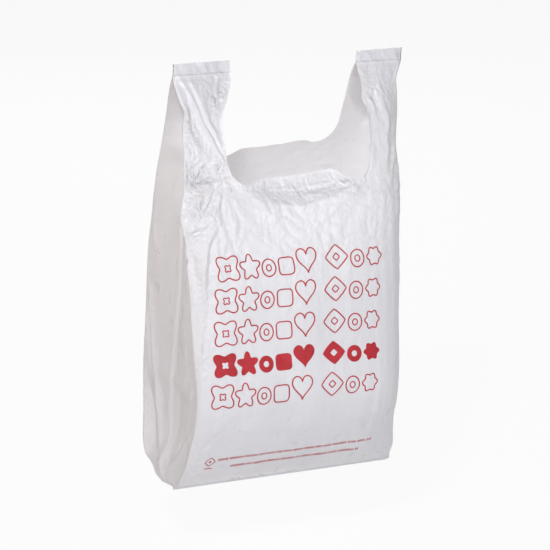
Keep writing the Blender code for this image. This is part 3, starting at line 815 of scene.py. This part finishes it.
# %% Press, sway and round
# height, how far the front-left fold is pulled to the right
FOLD_SWAY = [
    (0.0, 0.0), (0.305, 0.0), (0.3137, 0.0026), (0.3200, 0.0006), (0.3350, 0.0010), (0.3473, -0.0021),
    (0.3704, -0.0056), (0.3803, -0.0045), (0.3879, -0.0030), (0.4039, -0.0013), (0.4260, -0.0010),
    (0.4479, -0.0020), (0.4573, -0.0013), (0.4677, 0.0017), (0.4756, 0.0036), (0.4885, 0.0001),
    (0.5038, -0.0014), (0.5110, -0.0016), (0.5138, 0.0), (0.5263, 0.0),
]
SWAY_REACH = 0.020
WELD_SQUEEZE, WELD_WAVE = 0.55, 0.0028
RIGHT_IN, RIGHT_UP, LEFT_DOWN = 0.0052, 0.0024, 0.0060
pressed = smooth(z, WELD_FOOT - 0.004, WELD_FOOT)
points[..., 1] *= 1 - WELD_SQUEEZE * pressed
weld_folds = ripples(points[..., 0] + 0.6 * points[..., 2], points[..., 2], 180.0, 60.0, 5.0)
points[..., 1] += WELD_WAVE * pressed * weld_folds
by_left_fold = np.exp(-((np.minimum(u, TUBE - u) / SWAY_REACH) ** 2))
points[..., 0] += along(FOLD_SWAY, 1, z) * by_left_fold
at_right = smooth(points[..., 0], 0.115, 0.146)
points[..., 0] -= RIGHT_IN * at_right * np.exp(-(((z - 0.012) / 0.012) ** 2))
points[..., 2] += RIGHT_UP * smooth(points[..., 0], 0.138, 0.146) * (1 - smooth(z, 0.0, 0.004))
at_left = smooth(-points[..., 0], 0.10, 0.146) * smooth(points[..., 1], 0.004, 0.030)
points[..., 2] -= LEFT_DOWN * at_left * np.exp(-(((z - 0.006) / 0.010) ** 2))
print("sheet box", points.reshape(-1, 3).min(0).round(4), points.reshape(-1, 3).max(0).round(4))

# %% [markdown]
# ## The sheet as a mesh
# Neighbouring grid points make quads. Above the cut, only quads whose two columns both belong to a
# handle strip are kept, which leaves the neck and both hand loops open. The film is 0.013 mm thick.
# It could be given a thickness, but it stays one layer of faces, because a second layer would only
# hide how much light comes through it.

# %% Build the film
rows, columns = grid_u.shape
index = np.arange(rows * columns).reshape(rows, columns)
after = np.roll(index, -1, axis=1)
quads = []
for row in range(rows - 1):
    use = np.ones(columns, bool) if row < cut_row else column_kept & np.roll(column_kept, -1)
    quads.append(np.stack([index[row], after[row], after[row + 1], index[row + 1]], -1)[use])
quads = np.concatenate(quads)
used, quads = np.unique(quads, return_inverse=True)
quads = quads.reshape(-1, 4)
mesh = bpy.data.meshes.new("film_bag")
mesh.from_pydata(points.reshape(-1, 3)[used].tolist(), [], quads.tolist())
mesh.polygons.foreach_set("use_smooth", np.ones(len(mesh.polygons), bool))
mesh.update()
bag = bpy.data.objects.new("film_bag", mesh)
bpy.context.scene.collection.objects.link(bag)
print(len(used), "points,", len(quads), "quads")

# %% [markdown]
# ## Two maps for the material
# The finest creases are too small for the mesh, but they aren't everywhere the same. Two numbers at
# each point tell the material how crumpled the film is and how strong its fine grain is. They could be
# painted by hand as vertex colours. Here the patches that are known already give the first, and the
# second is calmer on the gusset and low on the front, where the film hangs flat.

# %% Store the maps on the film
def store(name, grid):
    """Keeps one number for each point of the film under a name that its material can read."""
    values = grid.ravel()[used].astype(np.float32)
    mesh.attributes.new(name, "FLOAT", "POINT").data.foreach_set("value", values)
    return round(float(values.mean()), 3)


grain = np.where(front, 0.40 + 0.25 * smooth(z, 0.08, 0.30), np.where(side, 0.15, 0.5))
print("mean of worn and fine:", store("worn", worn), store("fine", grain))

# %% [markdown]
# ## Where the print goes
# Ink has no place of its own: it lies on the film and follows each bend. It could be a picture laid
# on with UVs, or a Shrinkwrap modifier could press it on. Here the motifs are drawn flat, as on the
# printing roller, and each of their points is looked up on the displaced grid, a hair's breadth above
# the film's face, so the ink stays sharp at any size. The same look-up gives the direction that the
# film faces there.

# %% Look up a place on the front film
front_columns = int((column_u < BAG_WIDTH).sum())
flat_rows = len(low_rows)
front_u = column_u[:front_columns]
front_points = points[:flat_rows, :front_columns]
front_facing = np.cross(np.gradient(front_points, axis=1), np.gradient(front_points, axis=0))
front_facing /= np.linalg.norm(front_facing, axis=-1, keepdims=True)
INK_LIFT = 0.00016


def on_front(flat):
    """Points just above the front film for places (u, z) on the flat film."""
    flat = np.asarray(flat, float)
    i = np.clip(np.searchsorted(front_u, flat[:, 0]) - 1, 0, front_columns - 2)
    j = np.clip(np.searchsorted(low_rows, flat[:, 1]) - 1, 0, flat_rows - 2)
    s = ((flat[:, 0] - front_u[i]) / (front_u[i + 1] - front_u[i]))[:, None]
    t = ((flat[:, 1] - low_rows[j]) / (low_rows[j + 1] - low_rows[j]))[:, None]

    def blend_of(grid):
        low = grid[j, i] * (1 - s) + grid[j, i + 1] * s
        high = grid[j + 1, i] * (1 - s) + grid[j + 1, i + 1] * s
        return low * (1 - t) + high * t

    return blend_of(front_points) + blend_of(front_facing) * INK_LIFT


print("print spot", on_front([(0.15, 0.20)]).round(4).tolist())

# %% [markdown]
# ## Motifs
# Five rows of plain shapes stand on the front: a flower, a star, a ring, a block, a heart, a lozenge,
# a ring and a small flower. They could be drawn as curve objects by hand. Each is a closed run of
# points in a unit box, made by one formula, so one function can place it, fill it or draw its outline
# with a pen of even width.

# %% Closed curves in a unit box
ANGLES = np.linspace(0, 2 * math.pi, 72, endpoint=False)


def petals(count, depth, turn=0.0):
    """A closed curve with this many soft lobes."""
    radius = 1 + depth * np.cos(count * (ANGLES - turn))
    return np.stack([radius * np.cos(ANGLES), radius * np.sin(ANGLES)], -1)


def block(power):
    """A rounded square for a high power, a lozenge for a low one."""
    cos, sin = np.cos(ANGLES), np.sin(ANGLES)
    radius = (np.abs(cos) ** power + np.abs(sin) ** power) ** (-1 / power)
    return np.stack([radius * cos, radius * sin], -1)


def heart():
    """A heart, from sums of sines."""
    x = np.sin(ANGLES) ** 3
    y = (13 * np.cos(ANGLES) - 5 * np.cos(2 * ANGLES) - 2 * np.cos(3 * ANGLES) - np.cos(4 * ANGLES)) / 16
    return np.stack([x, y], -1)[::-1]


def boxed(curve):
    """Scales a curve to a box of one by one round the origin."""
    low, high = curve.min(0), curve.max(0)
    return (curve - (low + high) / 2) / (high - low)


print("a round motif has", len(boxed(petals(1, 0.0))), "points")

# %% [markdown]
# ## The layout of a row
# A row is a table: each motif's curve, where it starts and ends as a share of the row, whether it is
# tall, and how large its hole is. They could be placed one by one with a mouse. A table lets the same
# layout stretch to rows of different lengths.

# %% Motifs of a row
FLOWER = boxed(petals(4, 0.24, math.pi / 4))
STAR = boxed(petals(5, 0.26, math.pi / 2))
ROUND = boxed(petals(1, 0.0))
BLOCK = boxed(block(4.5))
HEART = boxed(heart())
LOZENGE = boxed(block(1.15))
DAISY = boxed(petals(6, 0.13))
DASH = boxed(block(5.0))
# curve, start and end as shares of the row, is it tall, size of the hole
ROW = [
    (FLOWER, 0.000, 0.134, True, 0.26), (STAR, 0.136, 0.262, True, 0.0), (ROUND, 0.264, 0.352, False, 0.36),
    (BLOCK, 0.364, 0.462, False, 0.0), (HEART, 0.474, 0.600, True, 0.0),
    (LOZENGE, 0.648, 0.786, True, 0.30), (ROUND, 0.796, 0.886, False, 0.36), (DAISY, 0.898, 1.000, False, 0.0),
]
print(len(ROW), "motifs in a row,", len(ANGLES), "points each")

# %% [markdown]
# ## Draw with the pen, or fill
# An outline is a strip of quads between two offsets of the curve. A filled shape is a set of rings
# between the curve and its hole, or its middle. A single large face would be simpler, but it would
# stay flat and sink into the creases, and rings have points enough to follow them. All of it is
# collected in one mesh of ink.

# %% Pen and fill
ink_points, ink_faces = [], []
MIDDLE_RING, FILL_RINGS = 0.06, 7


def rings(curves, close=False):
    """Faces between neighbouring rings of flat points, laid on the film."""
    base = sum(len(part) for part in ink_points)
    count = len(curves[0])
    for curve in curves:
        ink_points.append(on_front(curve))
    for ring in range(len(curves) - 1):
        a, b = base + ring * count, base + (ring + 1) * count
        for k in range(count):
            n = (k + 1) % count
            ink_faces.append((a + k, a + n, b + n, b + k))
    if close:
        ink_faces.append(tuple(base + (len(curves) - 1) * count + k for k in range(count)))


def offset(curve, by):
    """The curve moved outwards by a distance, for the two sides of a pen line."""
    ahead = np.roll(curve, -1, axis=0) - np.roll(curve, 1, axis=0)
    normal = np.stack([ahead[:, 1], -ahead[:, 0]], -1) / np.hypot(*ahead.T)[:, None]
    return curve + normal * by


def pen(curve, thick):
    """An outline of even width along a curve."""
    rings([offset(curve, thick / 2), offset(curve, -thick / 2)])


def fill(curve, middle, hole=0.0):
    """A solid shape, or one with a hole of the same form."""
    last = max(hole, MIDDLE_RING)
    shares = np.linspace(1.0, last, FILL_RINGS)
    rings([middle + (curve - middle) * share for share in shares], close=hole == 0.0)


print("pen and fill are ready,", len(ink_faces), "faces of ink so far")

# %% [markdown]
# ## The rows of motifs
# The rows are all of one layout, and each starts a little further left than the one above, because
# the print stands slightly askew on the bag. The fourth row is solid. An Array modifier could repeat
# one row, but it would put the same step between all of them.

# %% Print the rows
# rows: start and end on the flat film, foot of the row, is it filled
PRINT_ROWS = [
    (0.0346, 0.2453, 0.2876, False), (0.0290, 0.2413, 0.2488, False), (0.0257, 0.2381, 0.2092, False),
    (0.0225, 0.2349, 0.1698, True), (0.0165, 0.2309, 0.1306, False),
]
TALL, SHORT, PEN = 0.0296, 0.0212, 0.0016
for start, end, foot, filled in PRINT_ROWS:
    for curve, low, high, tall, hole in ROW:
        height = TALL if tall else SHORT
        wide = (high - low) * (end - start) - (0.0 if filled else PEN)
        middle = np.array([start + (low + high) / 2 * (end - start), foot + height / 2])
        size = np.array([wide, height])
        if filled:
            fill(middle + curve * size, middle, hole)
        else:
            pen(middle + curve * size, PEN)
            if hole:
                pen(middle + curve * size * hole, PEN * 0.9)
print("rows of motifs:", len(ink_faces), "faces")

# %% [markdown]
# ## Ticks near the weld
# Near the bottom weld two thin rows of small ticks, in groups of different lengths, and one small
# outlined lozenge keep the layout in balance. Each tick could be placed by hand. A fixed seed sets
# the sizes and the groups, because only their rhythm matters at this size.

# %% Ticks and the small mark
TICK = np.array([[-0.5, -0.5], [0.5, -0.5], [0.5, 0.5], [-0.5, 0.5]])
chance = np.random.RandomState(8)
TICK_PITCH, GROUP_GAP = 0.0027, 0.0016
# start, end and height of each row on the flat film
for start, end, height in ((0.0386, 0.2405, 0.0532), (0.0579, 0.2268, 0.0394)):
    at = start
    while at < end:
        for _ in range(chance.randint(2, 9)):
            if at < end:
                size = np.array([chance.uniform(0.0014, 0.0019), chance.uniform(0.0031, 0.0040)])
                rings([np.array([at, height]) + TICK * size], close=True)
                at += TICK_PITCH
        at += GROUP_GAP
mark, foot = np.array([0.0280, 0.0512]), np.array([0.0280, 0.0400])
pen(mark + LOZENGE * np.array([0.0125, 0.0135]), 0.0011)
fill(mark + LOZENGE * np.array([0.0035, 0.0040]), mark)
fill(foot + DASH * np.array([0.0100, 0.0016]), foot)
print("with the ticks:", len(ink_faces), "faces")

# %% [markdown]
# ## The ink as a mesh
# The ink is a piece of its own, because it has its own colour and can then be changed by itself. It
# could also be faces of the film with a second material, but then the film's grid would have to
# follow each motif.

# %% Build the ink
ink_mesh = bpy.data.meshes.new("front_print")
ink_mesh.from_pydata(np.concatenate(ink_points).tolist(), [], ink_faces)
ink_mesh.polygons.foreach_set("use_smooth", np.ones(len(ink_mesh.polygons), bool))
ink_mesh.update()
ink = bpy.data.objects.new("front_print", ink_mesh)
bpy.context.scene.collection.objects.link(ink)
print("print:", len(ink_mesh.vertices), "points,", len(ink_mesh.polygons), "faces")

# %% [markdown]
# ## The film's look
# White film of this kind is nearly matt inside the sheet and softly glossy on its face, and some light
# goes through it and comes out a little warmer. The look is built from nodes, and three small
# functions save writing each node out. The look could also be painted in images, but noise in the
# object's own space has no seams and no size limit.

# %% Helpers for nodes
def add(tree, kind, place, **settings):
    """A new node of a material or a world, at a place in its editor."""
    node = tree.nodes.new(kind)
    node.location = place
    for key, value in settings.items():
        setattr(node, key, value)
    return node


GRAIN_ROUGHNESS = 0.6


def noise_map(tree, stretch, scale, detail, place):
    """Noise over the object's own space, stretched by three factors."""
    where = add(tree, "ShaderNodeTexCoord", (place[0] - 600, place[1]))
    sized = add(tree, "ShaderNodeMapping", (place[0] - 400, place[1]))
    sized.inputs["Scale"].default_value = stretch
    made = add(tree, "ShaderNodeTexNoise", place)
    made.inputs["Scale"].default_value = scale
    made.inputs["Detail"].default_value = detail
    made.inputs["Roughness"].default_value = GRAIN_ROUGHNESS
    tree.links.new(where.outputs["Object"], sized.inputs["Vector"])
    tree.links.new(sized.outputs["Vector"], made.inputs["Vector"])
    return made.outputs["Fac"]


def ramp(tree, value, low, high, place, start=0.3, end=0.7):
    """Turns a value into a colour between two colours."""
    made = add(tree, "ShaderNodeValToRGB", place)
    made.color_ramp.elements[0].position, made.color_ramp.elements[1].position = start, end
    made.color_ramp.elements[0].color, made.color_ramp.elements[1].color = low, high
    tree.links.new(value, made.inputs["Fac"])
    return made.outputs["Color"]


print("node helpers: add, noise_map, ramp")

# %% [markdown]
# ## The white of the film
# The colour is a cool white with weak clouds in it, because the film isn't of quite the same
# thickness everywhere, and its gloss varies for the same reason. One even white would be simpler, but
# it looks like painted metal.

# %% Colour and gloss of the film
white = bpy.data.materials.new("white film")
white.use_nodes = True
tree = white.node_tree
face = tree.nodes["Principled BSDF"]
face.inputs["Specular IOR Level"].default_value = 0.42
clouds = noise_map(tree, (1, 1, 0.45), 16.0, 4.0, (-500, 300))
colour = ramp(tree, clouds, (0.755, 0.760, 0.804, 1), (0.825, 0.830, 0.872, 1), (-300, 300))
tree.links.new(colour, face.inputs["Base Color"])
sheen = noise_map(tree, (1, 1, 0.3), 60.0, 3.0, (-500, 0))
polish = ramp(tree, sheen, (0.24, 0.24, 0.24, 1), (0.42, 0.42, 0.42, 1), (-300, 0))
tree.links.new(polish, face.inputs["Roughness"])
print("white film:", len(tree.nodes), "nodes")

# %% [markdown]
# ## Grain, streaks and the finest creases
# Blown film has a fine grain and long streaks along its length, and crumpled film breaks into cells a
# few millimetres wide with sharp edges. All are far too small for the mesh, so they are bump: noise,
# noise that is stretched along the film, and the distance to the edges of a Voronoi pattern. The two
# maps that were stored on the film say how strong each is, so that the calm parts stay calm.

# %% Bump of the film
def bump(tree, height, distance, strength, below, place):
    """Bump from a height in metres, as strong as a map says, over the bump below it."""
    made = add(tree, "ShaderNodeBump", place)
    made.inputs["Distance"].default_value = distance
    tree.links.new(strength, made.inputs["Strength"])
    tree.links.new(height, made.inputs["Height"])
    if below is not None:
        tree.links.new(below, made.inputs["Normal"])
    return made.outputs["Normal"]


def stored(tree, name, place):
    """The map that was stored on the film under this name."""
    return add(tree, "ShaderNodeAttribute", place, attribute_name=name).outputs["Fac"]


fine = stored(tree, "fine", (-700, -500))
crinkle = bump(tree, noise_map(tree, (1, 1, 0.6), 230.0, 5.0, (-700, -300)), 0.0009, fine, None, (-500, -300))
streaks = bump(tree, noise_map(tree, (1, 1, 0.07), 330.0, 3.0, (-500, -600)), 0.0005, fine, crinkle, (-300, -300))
spot = add(tree, "ShaderNodeTexCoord", (-900, -900))
cells = add(tree, "ShaderNodeTexVoronoi", (-500, -900), feature="DISTANCE_TO_EDGE")
cells.inputs["Scale"].default_value = 120.0
tree.links.new(spot.outputs["Object"], cells.inputs["Vector"])
crumpled = bump(tree, cells.outputs["Distance"], 0.0054, stored(tree, "worn", (-500, -1200)), streaks, (-100, -300))
tree.links.new(crumpled, face.inputs["Normal"])
print("with bump:", len(tree.nodes), "nodes")

# %% [markdown]
# ## Light through the film
# About three tenths of the light that the film sends on has come through it. Transmission in the
# main shader would make it clear like glass. A translucent shader scatters it instead, as the white
# pigment does, so the inside glows and nothing behind it can be made out.

# %% Translucence of the film
body = add(tree, "ShaderNodeBsdfTranslucent", (0, -200))
body.inputs["Color"].default_value = (0.86, 0.82, 0.80, 1)
tree.links.new(crumpled, body.inputs["Normal"])
both = add(tree, "ShaderNodeMixShader", (250, 0))
both.inputs["Fac"].default_value = 0.29
tree.links.new(face.outputs["BSDF"], both.inputs[1])
tree.links.new(body.outputs["BSDF"], both.inputs[2])
tree.links.new(both.outputs["Shader"], tree.nodes["Material Output"].inputs["Surface"])
bag.data.materials.append(white)
print("film material:", len(tree.nodes), "nodes")

# %% [markdown]
# ## The ink's look
# The ink is thin, so it takes the film's sheen and crinkle. It is slightly uneven, with paler spots here and there.
# One flat red would be enough for a sign, but on film it looks like cut card, so two reds are mixed by noise.

# %% Material of the ink
red = bpy.data.materials.new("red ink")
red.use_nodes = True
tree = red.node_tree
face = tree.nodes["Principled BSDF"]
spots = noise_map(tree, (1, 1, 1), 70.0, 5.0, (-500, 300))
shade = ramp(tree, spots, (0.360, 0.008, 0.016, 1), (0.500, 0.016, 0.028, 1), (-300, 300), 0.35, 0.75)
tree.links.new(shade, face.inputs["Base Color"])
face.inputs["Roughness"].default_value = 0.42
face.inputs["Specular IOR Level"].default_value = 0.35
crinkle = add(tree, "ShaderNodeBump", (-300, -300))
crinkle.inputs["Strength"].default_value = 0.40
crinkle.inputs["Distance"].default_value = 0.0005
tree.links.new(noise_map(tree, (1, 1, 0.75), 260.0, 5.0, (-500, -300)), crinkle.inputs["Height"])
tree.links.new(crinkle.outputs["Normal"], face.inputs["Normal"])
ink.data.materials.append(red)
print("ink material:", len(tree.nodes), "nodes")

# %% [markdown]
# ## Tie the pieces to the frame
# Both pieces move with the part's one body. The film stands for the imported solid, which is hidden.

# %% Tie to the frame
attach(bag, "root")
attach(ink, "root")
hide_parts("carrier_bag")

# %% [markdown]
# ## White behind the bag
# The bag hangs free, a hand's breadth over a plain white floor that keeps a soft shadow. White all
# round could come from strong lamps, but they would bleach the film too. So the camera sees white
# behind the bag by way of the ray type, and no extra light falls on the film. Gloss and clear things
# see the same white, so that other materials would look right there as well.

# %% Helpers for the white surroundings
def sees_background(tree, place):
    """1 for rays from the camera, from a gloss or through a clear thing, otherwise 0."""
    path = add(tree, "ShaderNodeLightPath", place)
    first = add(tree, "ShaderNodeMath", (place[0] + 200, place[1]), operation="MAXIMUM")
    second = add(tree, "ShaderNodeMath", (place[0] + 400, place[1]), operation="MAXIMUM")
    tree.links.new(path.outputs["Is Camera Ray"], first.inputs[0])
    tree.links.new(path.outputs["Is Glossy Ray"], first.inputs[1])
    tree.links.new(first.outputs["Value"], second.inputs[0])
    tree.links.new(path.outputs["Is Transmission Ray"], second.inputs[1])
    return second.outputs["Value"]


def mix(tree, share, first, second, place):
    """A mix of two shaders: share 0 is the first, 1 the second."""
    made = add(tree, "ShaderNodeMixShader", place)
    tree.links.new(share, made.inputs["Fac"])
    tree.links.new(first, made.inputs[1])
    tree.links.new(second, made.inputs[2])
    return made.outputs["Shader"]


print("helpers for the stage: sees_background, mix")

# %% [markdown]
# ## The world
# The world is two backgrounds in one: a dim grey one that fills the shadows of the film a little, and
# a white one that only the camera and reflections see. A picture of a studio could light it as well,
# but plain values are easier to set, and they have no tint.

# %% The world
world = bpy.data.worlds.new("studio")
bpy.context.scene.world = world
world.use_nodes = True
tree = world.node_tree
tree.nodes.clear()
lit = add(tree, "ShaderNodeBackground", (0, 0))
lit.inputs["Color"].default_value = (1.0, 1.0, 1.0, 1)
lit.inputs["Strength"].default_value = 0.13
seen = add(tree, "ShaderNodeBackground", (0, -200))
seen.inputs["Color"].default_value = (1, 1, 1, 1)
chosen = mix(tree, sees_background(tree, (-600, 200)), lit.outputs["Background"], seen.outputs["Background"],
             (300, 0))
out = add(tree, "ShaderNodeOutputWorld", (500, 0))
tree.links.new(chosen, out.inputs["Surface"])
print("world:", len(tree.nodes), "nodes")

# %% [markdown]
# ## The floor
# A large white plane lies below the bag. A shadow catcher would leave the shadow alone on nothing. A
# matt floor mixed with a little less than full glow shows the shadow faintly, and the rest of it as
# white as the background.

# %% The floor
FLOOR_DROP, FLOOR_GLOW = 0.10, 0.93
bpy.ops.mesh.primitive_plane_add(size=14.0, location=(0, 0, -HUNG_HEIGHT - FLOOR_DROP))
floor = bpy.context.object
floor.name = "floor"
paper = bpy.data.materials.new("white floor")
paper.use_nodes = True
tree = paper.node_tree
matt = tree.nodes["Principled BSDF"]
matt.inputs["Base Color"].default_value = (0.86, 0.86, 0.86, 1)
matt.inputs["Roughness"].default_value = 0.9
glow = add(tree, "ShaderNodeEmission", (0, -300))
part = add(tree, "ShaderNodeMath", (0, 200), operation="MULTIPLY")
part.inputs[1].default_value = FLOOR_GLOW
tree.links.new(sees_background(tree, (-700, 200)), part.inputs[0])
mixed = mix(tree, part.outputs["Value"], matt.outputs["BSDF"], glow.outputs["Emission"], (300, 0))
tree.links.new(mixed, tree.nodes["Material Output"].inputs["Surface"])
floor.data.materials.append(paper)
floor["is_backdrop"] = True
print("floor", round(-HUNG_HEIGHT - FLOOR_DROP, 3), "m below the handle tops")

# %% [markdown]
# ## The lamps
# One fairly small lamp stands high at the left of the camera, so its light grazes the creases of the
# front and leaves the right side a little darker. A warm weak one lights the gusset from the left, a
# cool weak one the right, and a small low one in front lifts the film near the floor. A wide one
# behind shines through the back panel, which makes the inside glow. One big soft lamp would be
# simpler, but it would wash out every crease.

# %% Set up the lamps
def lamp(name, place, size, power, tint):
    """A square soft lamp that points at the middle of the bag."""
    made = bpy.data.objects.new(name, bpy.data.lights.new(name, "AREA"))
    made.data.size = size
    made.data.energy = power
    made.data.color = tint
    made.location = place
    made.rotation_euler = (aim - Vector(place)).to_track_quat("-Z", "Y").to_euler()
    bpy.context.scene.collection.objects.link(made)


lamp("key lamp", (-1.20, -1.72, 1.45), 0.42, 48.0, (1.0, 0.99, 0.99))
lamp("right fill", (1.9, -1.9, 0.4), 1.4, 1.0, (0.60, 0.72, 1.0))
lamp("left fill", (-2.6, 0.3, 0.4), 1.6, 7.5, (1.0, 0.62, 0.30))
lamp("low fill", (0.1, -2.3, -0.44), 0.3, 14.0, (0.93, 0.96, 1.0))
lamp("back light", (0.4, 2.4, 1.0), 1.4, 23.0, (0.96, 0.97, 1.0))
bpy.context.scene.view_settings.view_transform = "Standard"

# %% [markdown]
# ## Finish
# The box of all shown pieces, the sheet and its print, is printed at the end.

# %% Print the box and finish
low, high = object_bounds()
print("sheet box", [round(v, 4) for v in low], [round(v, 4) for v in high])
